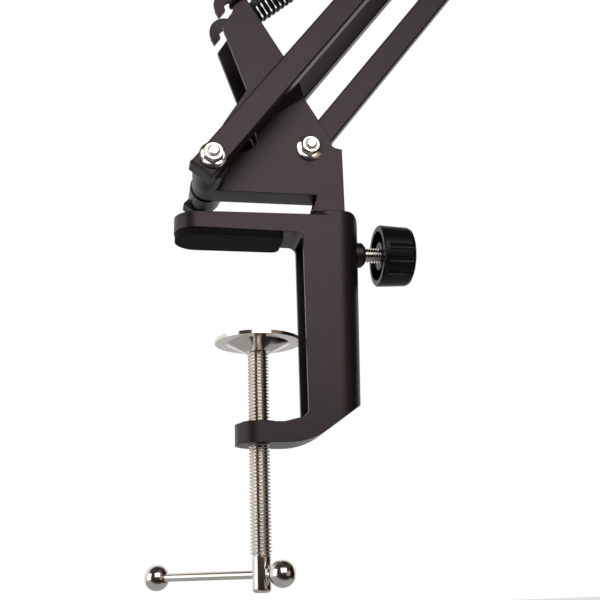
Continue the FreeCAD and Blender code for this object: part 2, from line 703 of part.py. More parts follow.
def swivel_post():
    post = turned(
        "SwivelPost",
        [
            ("0", BOSS_TOP + " - post_depth"),
            ("post_radius - 0.6", BOSS_TOP + " - post_depth"),
            ("post_radius", BOSS_TOP + " - post_depth + 0.6"),
            ("post_radius", BOSS_TOP + " + 0.05"),
            ("flange_radius", BOSS_TOP + " + 0.05"),
            ("flange_radius", SPIGOT_BASE),
            ("channel_half - sheet", SPIGOT_BASE),
            ("channel_half - sheet", "spigot_top"),
            ("0", "spigot_top"),
        ],
    )
    node(place(group("PostPlaced", post), x="post_x"), "swivel_post")


def base_hardware():
    outer = ("outer_pivot_x", "outer_pivot_z")
    inner = ("inner_pivot_x", "inner_pivot_z")
    node(bolt("BaseLongBolt", f"{BAR_OUTSIDE} + {SLIP}", *outer), "base_outer_bolt")
    node(bolt("BaseShortBolt", "channel_half", *inner), "base_inner_bolt")
    node(nut("BaseLongNut", f"{BAR_OUTSIDE} + {SLIP}", *outer), "base_outer_nut")
    node(nut("BaseShortNut", "channel_half", *inner), "base_inner_nut")
    near, far = outer_spacers("BaseSpacer", *outer)
    node(near, "base_spacer_near")
    node(far, "base_spacer_far")
    node(inner_sleeve("BaseSleeve", *outer), "base_sleeve")


# ---------------------------------------------------------------- elbow


def elbow_bracket():
    """Two plates that carry the lower bars' ends, the upper bars' ends and the upper springs."""
    hook = "elbow_hook_x"
    top = "elbow_hook_z"
    outline = prism(
        "ElbowOutline", "XZ_Plane",
        [
            ("-4.2", "-4.2"),
            ("1", "-6"),
            (PITCH_X + " + 2", PITCH_Z + " - 6"),
            (PITCH_X + " + 6", PITCH_Z),
            ("elbow_upper_x + 6.5", "elbow_upper_z + 3"),
            (hook + " + 7", top + " - 2"),
            (hook + " + 5.6", top + " + 3.2"),
            (hook + " + 3.2", top + " + 5.6"),
            (hook, top + " + hook_radius"),
            (hook + " - 3.2", top + " + 5.6"),
            (hook + " - 5.6", top + " + 3.2"),
            (hook + " - 6.5", top),
            (hook + " - 6", top + " - 4"),
            (hook + " - 4.4", top + " - 14"),
            ("elbow_upper_x + upper_pitch_x - 6", "elbow_upper_z + upper_pitch_z + 1"),
            ("elbow_upper_x + upper_pitch_x - 6.5", "elbow_upper_z + upper_pitch_z - 6"),
            ("-5.5", "3.5"),
        ],
        "2 * " + DRILL,
    )
    sheets = joggled_sheets("ElbowSheets", "30", "73", "0")
    plates = common("ElbowPlates", outline, sheets)
    web = block("ElbowWeb", "sheet", "2 * (channel_half - sheet)", "11", "elbow_upper_x + 6",
                "sheet - channel_half", "elbow_upper_z - 15")
    drill = [
        rod_y("ElbowHole1", "bolt_radius", "-" + DRILL, DRILL, "0", "0"),
        rod_y("ElbowHole2", "bolt_radius", "-" + DRILL, DRILL, PITCH_X, PITCH_Z),
        rod_y("ElbowHole3", "bolt_radius", "-" + DRILL, DRILL, "elbow_upper_x", "elbow_upper_z"),
        rod_y("ElbowHole4", "bolt_radius", "-" + DRILL, DRILL, "elbow_upper_x + upper_pitch_x",
              "elbow_upper_z + upper_pitch_z"),
        rod_y("ElbowHookHole", "slot_half", "-" + DRILL, DRILL, hook, top),
    ]
    solid = fuse("ElbowSolid", plates, web)
    node(place(group("ElbowPlaced", cut("ElbowBracket", solid, *drill)), ELBOW_X, "0", ELBOW_Z),
         "elbow_bracket")


def bracket_hardware(name, outer_spots, inner_spots, x, z):
    """A bracket's bolts, nuts, spacers and sleeves, each kind as one group."""
    bolts, nuts, spacers, sleeves = [], [], [], []
    half = f"{BAR_OUTSIDE} + {SLIP}"
    for index, spot in enumerate(outer_spots):
        bolts.append(bolt(f"{name}_long{index}", half, *spot))
        nuts.append(nut(f"{name}_long_nut{index}", half, *spot))
        spacers += outer_spacers(f"{name}_spacer{index}", *spot)
        sleeves.append(inner_sleeve(f"{name}_sleeve{index}", *spot))
    for index, spot in enumerate(inner_spots):
        bolts.append(bolt(f"{name}_short{index}", "channel_half", *spot))
        nuts.append(nut(f"{name}_short_nut{index}", "channel_half", *spot))
    for kind, pieces in (("bolts", bolts), ("nuts", nuts), ("spacers", spacers),
                         ("sleeves", sleeves)):
        node(place(group(f"{name}_{kind}_placed", *pieces), x, "0", z), f"{name}_{kind}")


def elbow_hardware():
    upper = ("elbow_upper_x", "elbow_upper_z")
    upper_inner = ("elbow_upper_x + upper_pitch_x", "elbow_upper_z + upper_pitch_z")
    bracket_hardware("elbow", [("0", "0"), upper], [(PITCH_X, PITCH_Z), upper_inner], ELBOW_X,
                     ELBOW_Z)


# ---------------------------------------------------------------- head


def head_bracket():
    outline = prism(
        "HeadOutline", "XZ_Plane",
        [
            ("4.5", "-4"),
            ("6", "2"),
            ("upper_pitch_x + 6", "upper_pitch_z + 3"),
            ("upper_pitch_x + 2.5", "upper_pitch_z + 6"),
            ("upper_pitch_x - 3", "upper_pitch_z + 5.6"),
            ("upper_pitch_x - 6", "upper_pitch_z + 1.5"),
            ("tilt_x + 9", "tilt_z + 5.4"),
            ("tilt_x - 2", "tilt_z + 5.8"),
            ("tilt_x - 5.8", "tilt_z + 2"),
            ("tilt_x - 5.8", "tilt_z - 2"),
            ("tilt_x - 2", "tilt_z - 5.8"),
            ("0", "-6"),
        ],
        "2 * " + DRILL,
    )
    plates = common("HeadPlates", outline, flat_sheets("HeadSheets"))
    floor = block("HeadWeb", "8", "2 * (channel_half - sheet)", "sheet", "tilt_x + 11",
                  "sheet - channel_half", "3.5")
    holes = [
        rod_y("HeadHole1", "bolt_radius", "-" + DRILL, DRILL, "0", "0"),
        rod_y("HeadHole2", "bolt_radius", "-" + DRILL, DRILL, "upper_pitch_x", "upper_pitch_z"),
        rod_y("HeadHole3", "bolt_radius", "-" + DRILL, DRILL, "tilt_x", "tilt_z"),
    ]
    solid = fuse("HeadSolid", plates, floor)
    node(place(group("HeadPlaced", cut("HeadBracket", solid, *holes)), HEAD_X, "0", HEAD_Z),
         "head_bracket")


def head_hardware():
    bracket_hardware("head", [("0", "0")], [("upper_pitch_x", "upper_pitch_z")], HEAD_X, HEAD_Z)


def tilt_joint():
    """The block between the head's plates, its bolt and knob, and the microphone's stud."""
    thick = "2 * (channel_half - sheet) - 0.2"
    eye = rod_y("TiltEye", "tilt_block_radius", f"-({thick}) / 2", f"({thick}) / 2", "0", "0")
    stem = rod_x("TiltStem", "stem_radius", "-stem_length", "0", "0", "0")
    seat_end = "-stem_length - seat_height"
    seat = rod_x("TiltSeat", "seat_radius", seat_end, "-stem_length", "0", "0")
    hole = rod_y("TiltEyeHole", "bolt_radius + running", "-" + DRILL, DRILL, "0", "0")
    block_solid = cut("TiltBlock", fuse("TiltBlockSolid", eye, stem, seat), hole)
    node(place(group("TiltBlockPlaced", block_solid), TILT_X, "0", TILT_Z), "tilt_block")

    stud = rod_x("MicStud", "mic_stud_radius", seat_end + " - mic_stud_length", seat_end, "0", "0")
    node(place(group("MicStudPlaced", stud), TILT_X, "0", TILT_Z), "mic_stud")

    shank = rod_y("TiltBoltShank", "bolt_radius", "-channel_half - 7", "channel_half", "0", "0")
    head = hexagon("TiltBoltHead", "bolt_head_height", "channel_half", "0", "0")
    node(place(group("TiltBoltPlaced", fuse("TiltBolt", shank, head)), TILT_X, "0", TILT_Z),
         "tilt_bolt")

    washer = tube("TiltWasher", "nut_flange_radius", "-channel_half - 1", "-channel_half", "0", "0")
    node(place(group("TiltWasherPlaced", washer), TILT_X, "0", TILT_Z), "tilt_washer")

    knob_end = "-channel_half - 1.1 - tilt_knob_height"
    core = rod_y("TiltKnobCore", "tilt_knob_radius", knob_end, "-channel_half - 1.1", "0", "0")
    cuts = [rod_y("TiltKnobBore", "bolt_radius + running", "-channel_half - 7.2", "0", "0", "0")]
    for index in range(SCALLOPS):
        turn = 360 / SCALLOPS * index
        cuts.append(rod_y(f"TiltKnobScallop{index}", "scallop_radius", "-40", "0",
                          f"(tilt_knob_radius + 1.8) * cos({turn})",
                          f"(tilt_knob_radius + 1.8) * sin({turn})"))
    node(place(group("TiltKnobPlaced", cut("TiltKnob", core, *cuts)), TILT_X, "0", TILT_Z),
         "tilt_knob")


# ---------------------------------------------------------------- document


def fill_sheet():
    sheet = add("Spreadsheet::Sheet", "Dimensions")
    for row, (name, value) in enumerate(DIMENSIONS, start=1):
        sheet.set(f"A{row}", name)
        sheet.set(f"B{row}", str(value))
        sheet.setAlias(f"B{row}", name)
    add("App::Placement", "Probe")
    doc.recompute()


def build():
    clamp_frame()
    jaw_pad()
    clamp_screw()
    pressure_disc()
    tommy_bar()
    lock_screw()
    swivel_post()
    base_bracket()
    base_hardware()
    arm_section("lower", "outer_pivot_x", "outer_pivot_z", "inner_pivot_x", "inner_pivot_z",
                "lower_lean", "lower_anchor")
    springs("lower", "hook_x", "hook_z", "outer_pivot_x", "outer_pivot_z", "lower_lean",
            "lower_anchor")
    elbow_bracket()
    elbow_hardware()
    arm_section("upper", UPPER_X, UPPER_Z, f"{UPPER_X} + upper_pitch_x",
                f"{UPPER_Z} + upper_pitch_z", "upper_lean", "upper_anchor")
    springs("upper", f"({ELBOW_X} + elbow_hook_x)", f"({ELBOW_Z} + elbow_hook_z)", UPPER_X, UPPER_Z,
            "upper_lean", "upper_anchor")
    head_bracket()
    head_hardware()
    tilt_joint()


def check_and_write():
    doc.recompute()
    for item in doc.Objects:
        if "Invalid" in item.State or "Error" in item.State:
            raise RuntimeError(f"{item.Label} failed: {item.State}")
    for item in nodes:
        if item.Shape.isNull() or not item.Shape.isValid():
            raise RuntimeError(f"{item.Label} has no valid shape")
    os.makedirs("parts", exist_ok=True)
    for item in nodes:
        item.Shape.exportStep(f"parts/{item.Label}.step")
        print(f"{item.Label}: {len(item.Shape.Solids)} solids, {item.Shape.Volume:.1f} mm3")


fill_sheet()
build()
check_and_write()
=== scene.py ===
import json
import math

import bmesh
import bpy
from mathutils import Matrix, Vector


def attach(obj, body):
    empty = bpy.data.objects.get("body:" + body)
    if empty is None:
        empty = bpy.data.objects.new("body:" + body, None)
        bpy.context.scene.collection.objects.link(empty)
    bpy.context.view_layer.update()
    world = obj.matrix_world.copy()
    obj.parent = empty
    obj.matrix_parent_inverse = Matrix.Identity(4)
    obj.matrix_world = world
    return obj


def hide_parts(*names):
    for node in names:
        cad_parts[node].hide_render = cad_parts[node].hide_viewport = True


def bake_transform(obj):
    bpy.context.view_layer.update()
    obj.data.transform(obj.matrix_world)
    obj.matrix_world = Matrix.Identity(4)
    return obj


# A desk-clamp microphone boom arm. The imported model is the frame; this script adds real threads,
# coiled springs, flanged nuts and bolts, and gives every piece a procedural material.
# Lengths are in metres, and MM turns the millimetres of the drawings into metres.

MM = 0.001


def along(place, reach, lean):
    return place[0] + reach * math.cos(lean), place[1] + reach * math.sin(lean)


# Places and sizes that the frame also has. A place is an (x, z) pair on the arm's side.
PIVOT_A = (-18.9 * MM, 25.7 * MM)
PIVOT_B = (21.5 * MM, 39.9 * MM)
LINK = 350.0 * MM
LOWER_LEAN = math.radians(52.7)
UPPER_LEAN = math.radians(150.0)
UPPER_PITCH = (-9.6 * MM, 26.3 * MM)
ELBOW = along(PIVOT_A, LINK, LOWER_LEAN)
ELBOW_B = (ELBOW[0] + PIVOT_B[0] - PIVOT_A[0], ELBOW[1] + PIVOT_B[1] - PIVOT_A[1])
ELBOW_UP = (ELBOW[0] + 34.0 * MM, ELBOW[1] + 40.0 * MM)
ELBOW_UP_B = (ELBOW_UP[0] + UPPER_PITCH[0], ELBOW_UP[1] + UPPER_PITCH[1])
HEAD = along(ELBOW_UP, LINK, UPPER_LEAN)
HEAD_B = (HEAD[0] + UPPER_PITCH[0], HEAD[1] + UPPER_PITCH[1])
TILT = (HEAD[0] - 30.0 * MM, HEAD[1] + 6.0 * MM)
LOWER_HOOK = (-10.6 * MM, 100.0 * MM)
UPPER_HOOK = (ELBOW[0] + 30.0 * MM, ELBOW[1] + 92.0 * MM)
LOWER_ANCHOR = 250.0 * MM
UPPER_ANCHOR = 235.0 * MM
BAR_OUTSIDE = 23.3 * MM
CHANNEL = 5.4 * MM
SPRING_PLANE = 9.9 * MM
SPRING_LOOP = 11.0 * MM
PIN_RADIUS = 1.5 * MM
LOCK_Z = -3.2 * MM
TOMMY_Z = -123.4 * MM
TOMMY_TURN = math.radians(-42.6)

# Sizes that only the Blender pieces have
COIL_PITCH = 2.65 * MM
COIL_RADIUS = 4.35 * MM
COIL_STEPS = 18
WIRE_RADIUS = 0.8 * MM
WIRE_SIDES = 8
ACROSS_FLATS = 6.9 * MM
NUT_BORE = 3.2 * MM
BOLT_RADIUS = 1.99 * MM
BOLT_TIP = 0.5 * MM

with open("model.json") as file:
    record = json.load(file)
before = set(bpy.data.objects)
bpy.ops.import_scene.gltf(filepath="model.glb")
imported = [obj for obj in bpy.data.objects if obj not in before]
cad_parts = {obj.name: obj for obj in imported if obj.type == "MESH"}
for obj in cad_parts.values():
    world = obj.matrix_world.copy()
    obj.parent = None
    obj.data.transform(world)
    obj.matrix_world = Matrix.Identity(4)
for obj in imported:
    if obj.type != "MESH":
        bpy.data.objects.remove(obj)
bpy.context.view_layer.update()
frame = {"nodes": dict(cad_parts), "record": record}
nodes = frame["nodes"]


# ---------------------------------------------------------------- camera, light and floor

def make_camera():
    """The photograph's view: from low down and a little to the left, looking up by 17 degrees."""
    yaw, pitch, roll = (math.radians(angle) for angle in (10.83, 17.01, -1.81))
    ahead = Vector((math.sin(yaw) * math.cos(pitch), math.cos(yaw) * math.cos(pitch), math.sin(pitch)))
    level = Vector((math.cos(yaw), -math.sin(yaw), 0))
    above = level.cross(ahead)
    right = level * math.cos(roll) + above * math.sin(roll)
    up = above * math.cos(roll) - level * math.sin(roll)
    data = bpy.data.cameras.new("camera")
    data.lens = 54.4
    data.sensor_width = 36
    data.clip_start = 0.01
    data.clip_end = 50
    camera = bpy.data.objects.new("camera", data)
    bpy.context.collection.objects.link(camera)
    turn = Matrix((right, up, -ahead)).transposed().to_4x4()
    camera.matrix_world = Matrix.Translation(Vector((-46.25, -329.17, -124.86)) * MM) @ turn
    bpy.context.scene.camera = camera


def fill_ramp(node, first, last, *between):
    """Set a colour ramp's two ends, and any stops between them, from (position, colour) pairs."""
    elements = node.color_ramp.elements
    for index, (position, colour) in enumerate((first, last)):
        elements[index].position = position
        elements[index].color = (*colour, 1)
    for position, colour in between:
        elements.new(position).color = (*colour, 1)


def direction_ramp(tree, source, *stops):
    """A colour ramp over a value that runs from -1 to 1; the stops are for 0 to 1."""
    unit = tree.nodes.new("ShaderNodeMapRange")
    unit.inputs["From Min"].default_value = -1
    tree.links.new(source, unit.inputs["Value"])
    ramp = tree.nodes.new("ShaderNodeValToRGB")
    fill_ramp(ramp, *stops)
    tree.links.new(unit.outputs["Result"], ramp.inputs["Fac"])
    return ramp.outputs["Color"]


def make_world():
    """A white sweep behind the object, dimmer below it, and a dark room on the camera's side.

    The camera itself sees plain white."""
    world = bpy.data.worlds.new("studio")
    world.use_nodes = True
    tree = world.node_tree
    tree.nodes.clear()
    place = tree.nodes.new("ShaderNodeTexCoord").outputs["Generated"]
    behind = tree.nodes.new("ShaderNodeVectorMath")
    behind.operation = "DOT_PRODUCT"
    behind.inputs[1].default_value = (-0.15, 0.82, -0.55)
    tree.links.new(place, behind.inputs[0])
    sweep = direction_ramp(tree, behind.outputs["Value"], (0.3, (0.05, 0.036, 0.03)),
                           (0.56, (0.9, 0.9, 0.89)), (0.43, (0.16, 0.125, 0.1)))
    under = tree.nodes.new("ShaderNodeSeparateXYZ")
    tree.links.new(place, under.inputs[0])
    shade = direction_ramp(tree, under.outputs["Z"], (0.34, (0.42, 0.42, 0.42)), (0.46, (1, 1, 1)))
    dimmed = tree.nodes.new("ShaderNodeMix")
    dimmed.data_type = "RGBA"
    dimmed.blend_type = "MULTIPLY"
    dimmed.inputs["Factor"].default_value = 1
    tree.links.new(sweep, dimmed.inputs["A"])
    tree.links.new(shade, dimmed.inputs["B"])
    room = tree.nodes.new("ShaderNodeBackground")
    tree.links.new(dimmed.outputs["Result"], room.inputs["Color"])
    paper = tree.nodes.new("ShaderNodeBackground")
    paper.inputs["Color"].default_value = (1, 1, 1, 1)
    path = tree.nodes.new("ShaderNodeLightPath")
    mix = tree.nodes.new("ShaderNodeMixShader")
    tree.links.new(path.outputs["Is Camera Ray"], mix.inputs["Fac"])
    tree.links.new(room.outputs[0], mix.inputs[1])
    tree.links.new(paper.outputs[0], mix.inputs[2])
    out = tree.nodes.new("ShaderNodeOutputWorld")
    tree.links.new(mix.outputs[0], out.inputs["Surface"])
    bpy.context.scene.world = world
    bpy.context.scene.view_settings.view_transform = "Standard"


def flat_sheet(name, width, depth, material):
    """A flat rectangle about its own origin."""
    x, y = width / 2, depth / 2
    mesh = bpy.data.meshes.new(name)
    mesh.from_pydata([(-x, -y, 0), (x, -y, 0), (x, y, 0), (-x, y, 0)], [], [(0, 1, 2, 3)])
    mesh.materials.append(material)
    item = bpy.data.objects.new(name, mesh)
    bpy.context.collection.objects.link(item)
    return item


def card(name, centre, size, colour, strength):
    """A glowing panel that faces the origin. The object reflects it and the camera doesn't see it."""
    material = bpy.data.materials.new(name)
    material.use_nodes = True
    tree = material.node_tree
    tree.nodes.clear()
    glow = tree.nodes.new("ShaderNodeEmission")
    glow.inputs["Color"].default_value = (*colour, 1)
    glow.inputs["Strength"].default_value = strength
    out = tree.nodes.new("ShaderNodeOutputMaterial")
    tree.links.new(glow.outputs[0], out.inputs["Surface"])
    panel = flat_sheet(name, *size, material)
    panel.location = centre
    panel.rotation_euler = (-Vector(centre)).to_track_quat("Z", "Y").to_euler()
    panel.visible_camera = False


def make_floor():
    """A pale floor below the tommy bar. It shows, but it isn't reflected."""
    material = bpy.data.materials.new("floor")
    material.use_nodes = True
    shader = material.node_tree.nodes["Principled BSDF"]
    shader.inputs["Base Color"].default_value = (0.9, 0.9, 0.9, 1)
    shader.inputs["Roughness"].default_value = 0.9
    shader.inputs["Emission Color"].default_value = (1, 1, 1, 1)
    shader.inputs["Emission Strength"].default_value = 0.5
    floor = flat_sheet("floor", 12.0, 12.0, material)
    floor.location = (0, 0, -0.32)
    floor.visible_diffuse = False
    floor.visible_glossy = False


def make_lights():
    card("front_box", (0.06, -1.25, 0.55), (1.2, 0.9), (1, 0.97, 0.95), 2.55)
    card("left_box", (-1.45, -0.3, 0.15), (1.0, 1.3), (0.97, 0.98, 1.0), 1.6)
    card("tan_card", (0.85, -1.0, -0.08), (0.8, 0.8), (1, 0.78, 0.62), 0.4)
    card("right_card", (1.25, -0.05, 0.0), (1.2, 1.6), (1.0, 0.82, 0.7), 0.012)


# ---------------------------------------------------------------- materials

class Shader:
    """A material with its Principled shader, and short ways to add the nodes that feed it."""

    def __init__(self, name, colour, metal=0.0):
        self.material = bpy.data.materials.new(name)
        self.material.use_nodes = True
        self.material.diffuse_color = (*colour, 1)
        self.tree = self.material.node_tree
        self.principled = self.tree.nodes["Principled BSDF"]
        self.setting("Base Color", (*colour, 1))
        self.setting("Metallic", metal)
        self.place = self.tree.nodes.new("ShaderNodeTexCoord").outputs["Object"]

    def setting(self, name, value):
        self.principled.inputs[name].default_value = value

    def noise(self, scale, detail, rough=0.5, stretch=None):
        node = self.tree.nodes.new("ShaderNodeTexNoise")
        node.inputs["Scale"].default_value = scale
        node.inputs["Detail"].default_value = detail
        node.inputs["Roughness"].default_value = rough
        place = self.place
        if stretch is not None:
            mapping = self.tree.nodes.new("ShaderNodeMapping")
            mapping.inputs["Scale"].default_value = stretch
            self.tree.links.new(place, mapping.inputs["Vector"])
            place = mapping.outputs[0]
        self.tree.links.new(place, node.inputs["Vector"])
        return node.outputs["Fac"]

    def mottle(self, source, low, high):
        """Colour that drifts with the source between two (position, colour) stops."""
        node = self.tree.nodes.new("ShaderNodeValToRGB")
        fill_ramp(node, low, high)
        self.tree.links.new(source, node.inputs["Fac"])
        self.tree.links.new(node.outputs["Color"], self.principled.inputs["Base Color"])

    def roughness(self, source, low, high):
        node = self.tree.nodes.new("ShaderNodeMapRange")
        node.inputs["To Min"].default_value = low
        node.inputs["To Max"].default_value = high
        self.tree.links.new(source, node.inputs["Value"])
        self.tree.links.new(node.outputs["Result"], self.principled.inputs["Roughness"])

    def bump(self, source, depth, strength, corner=0.0):
        """Surface relief of that depth in metres, over edges that are softened by a small radius."""
        node = self.tree.nodes.new("ShaderNodeBump")
        node.inputs["Strength"].default_value = strength
        node.inputs["Distance"].default_value = depth
        self.tree.links.new(source, node.inputs["Height"])
        if corner:
            soft = self.tree.nodes.new("ShaderNodeBevel")
            soft.samples = 6
            soft.inputs["Radius"].default_value = corner
            self.tree.links.new(soft.outputs[0], node.inputs["Normal"])
        self.tree.links.new(node.outputs[0], self.principled.inputs["Normal"])


def powder_coat():
    """Satin black powder coat: a fine orange-peel skin with a warm cast in its gloss."""
    shader = Shader("powder_coat", (0.014, 0.010, 0.0105))
    shader.mottle(shader.noise(55, 3), (0.3, (0.012, 0.0085, 0.009)), (0.7, (0.017, 0.012, 0.0125)))
    shader.roughness(shader.noise(900, 2), 0.33, 0.45)
    shader.bump(shader.noise(1500, 3, 0.6), 0.05 * MM, 0.35, corner=0.45 * MM)
    shader.setting("Specular Tint", (1.0, 0.84, 0.86, 1))
    return shader.material


def pad_rubber():
    """Dull black rubber with a coarse grain."""
    shader = Shader("pad_rubber", (0.006, 0.006, 0.006))
    shader.mottle(shader.noise(140, 4), (0.3, (0.005, 0.005, 0.005)), (0.75, (0.009, 0.0085, 0.008)))
    shader.roughness(shader.noise(500, 3), 0.6, 0.82)
    shader.bump(shader.noise(2400, 4, 0.7), 0.08 * MM, 0.5, corner=0.5 * MM)
    shader.setting("Specular IOR Level", 0.12)
    return shader.material


def nickel_plate():
    """Bright nickel plate, with faint turning marks and a slightly warm tint."""
    shader = Shader("nickel_plate", (0.80, 0.765, 0.71), metal=1.0)
    shader.mottle(shader.noise(90, 3), (0.25, (0.75, 0.715, 0.655)), (0.75, (0.84, 0.81, 0.765)))
    shader.roughness(shader.noise(650, 3), 0.08, 0.2)
    shader.bump(shader.noise(260, 2, 0.5, stretch=(1, 1, 9)), 0.03 * MM, 0.12, corner=0.06 * MM)
    return shader.material


def brass():
    """Machined brass."""
    shader = Shader("brass", (0.72, 0.52, 0.24), metal=1.0)
    shader.mottle(shader.noise(200, 3), (0.3, (0.66, 0.46, 0.19)), (0.7, (0.76, 0.57, 0.29)))
    shader.roughness(shader.noise(900, 3), 0.2, 0.36)
    shader.bump(shader.noise(1200, 2), 0.03 * MM, 0.3)
    return shader.material


def knob_plastic():
    """Moulded black plastic with a low gloss and a very fine grain."""
    shader = Shader("knob_plastic", (0.007, 0.007, 0.0075))
    shader.mottle(shader.noise(120, 3), (0.3, (0.006, 0.006, 0.0065)), (0.7, (0.009, 0.0085, 0.009)))
    shader.roughness(shader.noise(800, 3), 0.27, 0.4)
    shader.bump(shader.noise(2600, 2), 0.03 * MM, 0.25, corner=0.25 * MM)
    shader.setting("Specular IOR Level", 0.22)
    return shader.material


def plug_plastic():
    """Moulded end plugs of a softer black, a little scuffed."""
    shader = Shader("plug_plastic", (0.016, 0.0155, 0.016))
    shader.mottle(shader.noise(300, 4), (0.3, (0.013, 0.0125, 0.013)), (0.75, (0.022, 0.021, 0.022)))
    shader.roughness(shader.noise(900, 3), 0.36, 0.55)
    shader.bump(shader.noise(1800, 3), 0.05 * MM, 0.35, corner=0.5 * MM)
    shader.setting("Specular IOR Level", 0.25)
    return shader.material


def spring_steel():
    """Black-oxide spring wire."""
    shader = Shader("spring_steel", (0.009, 0.0085, 0.0085))
    shader.mottle(shader.noise(220, 3), (0.3, (0.007, 0.0065, 0.0065)), (0.7, (0.011, 0.0105, 0.0105)))
    shader.roughness(shader.noise(900, 2), 0.26, 0.42)
    shader.bump(shader.noise(1500, 2), 0.02 * MM, 0.3)
    shader.setting("Specular IOR Level", 0.3)
    return shader.material


MATERIALS = {
    "coat": powder_coat(),
    "pad_rubber": pad_rubber(),
    "plated": nickel_plate(),
    "brass": brass(),
    "knob_plastic": knob_plastic(),
    "plug_plastic": plug_plastic(),
    "spacer_plastic": knob_plastic(),
    "spring_steel": spring_steel(),
}


def paint_nodes():
    """Every CAD node takes the material of its slot in the record."""
    for part in frame["record"]["subparts"]:
        item = nodes[part["node"]]
        item.data.materials.clear()
        item.data.materials.append(MATERIALS[part["material_slot"]])


# ---------------------------------------------------------------- mesh helpers

def add_piece(name, mesh, slot, body, replaced=()):
    item = bpy.data.objects.new(name, mesh)
    bpy.context.collection.objects.link(item)
    mesh.materials.append(MATERIALS[slot])
    if replaced:
        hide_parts(*replaced)
    if body:
        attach(item, body)
    return item


def smooth(mesh, angle):
    """Smooth shading, with the edges sharper than the angle in degrees left crisp."""
    mesh.shade_smooth()
    mesh.set_sharp_from_angle(angle=math.radians(angle))


def stack(rings):
    """A closed bmesh from rings of points, each ring listed the same way round."""
    shape = bmesh.new()
    loops = [[shape.verts.new(point) for point in ring] for ring in rings]
    count = len(loops[0])
    for low, high in zip(loops, loops[1:]):
        for index in range(count):
            following = (index + 1) % count
            shape.faces.new((low[index], low[following], high[following], high[index]))
    shape.faces.new(list(reversed(loops[0])))
    shape.faces.new(loops[-1])
    return shape


def lathe(outline, steps, rule=None):
    """Rings about +Z from (height, radius) pairs; a rule gives the radius at an angle and height."""
    rings = []
    for height, radius in outline:
        ring = []
        for step in range(steps):
            angle = 2 * math.pi * step / steps
            reach = rule(angle, height, radius) if rule else radius
            ring.append(Vector((reach * math.cos(angle), reach * math.sin(angle), height)))
        rings.append(ring)
    return stack(rings)


def moved(shape, turn):
    bmesh.ops.transform(shape, matrix=turn, verts=shape.verts)
    return shape


def solid_mesh(name, shapes, angle):
    """One mesh from several bmeshes."""
    mesh = bpy.data.meshes.new(name)
    whole = bmesh.new()
    for shape in shapes:
        bmesh.ops.recalc_face_normals(shape, faces=shape.faces)
        shape.to_mesh(mesh)
        shape.free()
        whole.from_mesh(mesh)
    whole.to_mesh(mesh)
    whole.free()
    smooth(mesh, angle)
    return mesh


def carve(item, drill):
    """Cut a shape out of an item's mesh for good."""
    mesh = bpy.data.meshes.new("drill")
    drill.to_mesh(mesh)
    drill.free()
    tool = bpy.data.objects.new("drill", mesh)
    bpy.context.collection.objects.link(tool)
    change = item.modifiers.new("carve", "BOOLEAN")
    change.object = tool
    change.solver = "EXACT"
    bpy.context.view_layer.update()
    result = bpy.data.meshes.new_from_object(item.evaluated_get(bpy.context.evaluated_depsgraph_get()))
    item.modifiers.clear()
    item.data = result
    smooth(item.data, 30)
    bpy.data.objects.remove(tool)


def thread_rows(low, high, crest, root, pitch, per_turn=10):
    """Rows for a right-hand screw thread with narrow flat crests and roots, and its radius rule.

    The thread runs out to its root at both ends. Above it the rule keeps the radius it is given."""
    count = int((high - low) / pitch * per_turn)
    rows = [(low + (high - low) * index / count, crest) for index in range(count + 1)]
    crest_share, flank_share, run_out = 0.14, 0.74, 0.6 * pitch

    def radius(angle, height, given):
        if height > high:
            return given
        phase = (height / pitch - angle / (2 * math.pi)) % 1
        depth = min(1, max(0, (abs(2 * phase - 1) - crest_share) / flank_share))
        fade = min(1, (height - low) / run_out, (high - height) / run_out)
        return crest - (crest - root) * (depth if fade >= 1 else 1 - (1 - depth) * max(0, fade))

    return rows, radius


# ---------------------------------------------------------------- fasteners

def rest_on(spot, y, facing):
    """The matrix that stands a +Z shape on a place of the arm's side, facing along Y."""
    turn = Matrix.Rotation(math.radians(-90 * facing), 4, "X")
    return Matrix.Translation((spot[0], y, spot[1])) @ turn


def hexagon_on_flange(outline, flange_top):
    """A round flange with a hexagon above it, from (height, radius) pairs in millimetres.

    The pairs' radii trim the hexagon's corners. Radii inside the bore stay round."""
    def radius(angle, height, given):
        if height < flange_top or given < NUT_BORE:
            return given
        from_flat = (angle + math.pi / 6) % (math.pi / 3) - math.pi / 6
        return min(ACROSS_FLATS / 2 / math.cos(from_flat), given)

    return lathe([(height * MM, reach * MM) for height, reach in outline], 72, radius)


def flange_nut():
    """A flanged M4 nut: a coned flange, a hexagon with chamfered corners and a countersunk top."""
    return hexagon_on_flange([
        (0, 5.1), (0.25, 5.25), (0.75, 5.2), (1.0, 4.45), (1.15, 4.02), (3.7, 4.02), (4.15, 3.35),
        (4.2, 3.1), (4.15, 2.45), (3.75, 2.0),
    ], 1.1 * MM)


def bolt_head():
    """A hexagon head with a thin flange, standing on z = 0."""
    return hexagon_on_flange([
        (0, 4.7), (0.15, 4.9), (0.8, 4.85), (1.05, 4.2), (1.1, 4.02), (2.35, 4.02), (2.75, 3.4),
        (2.8, 3.1), (2.7, 2.7), (2.65, 0.4),
    ], 1.0 * MM)


def bolt_end(length):
    """The threaded end of an M4 bolt, with a domed tip, from 0 to its length."""
    rows, rule = thread_rows(0, length - BOLT_TIP, BOLT_RADIUS, 1.68 * MM, 0.7 * MM, 8)
    dome = [(length - 0.25 * MM, 1.8 * MM), (length - 0.03 * MM, 1.62 * MM), (length, 0.6 * MM)]
    return lathe(rows + dome, 36, rule)


def nuts_at(name, spots, body, replaced):
    """A nut on the near side of each (place, half width) pair."""
    shapes = [moved(flange_nut(), rest_on(spot, -half, -1)) for spot, half in spots]
    add_piece(name, solid_mesh(name, shapes, 28), "plated", body, replaced)


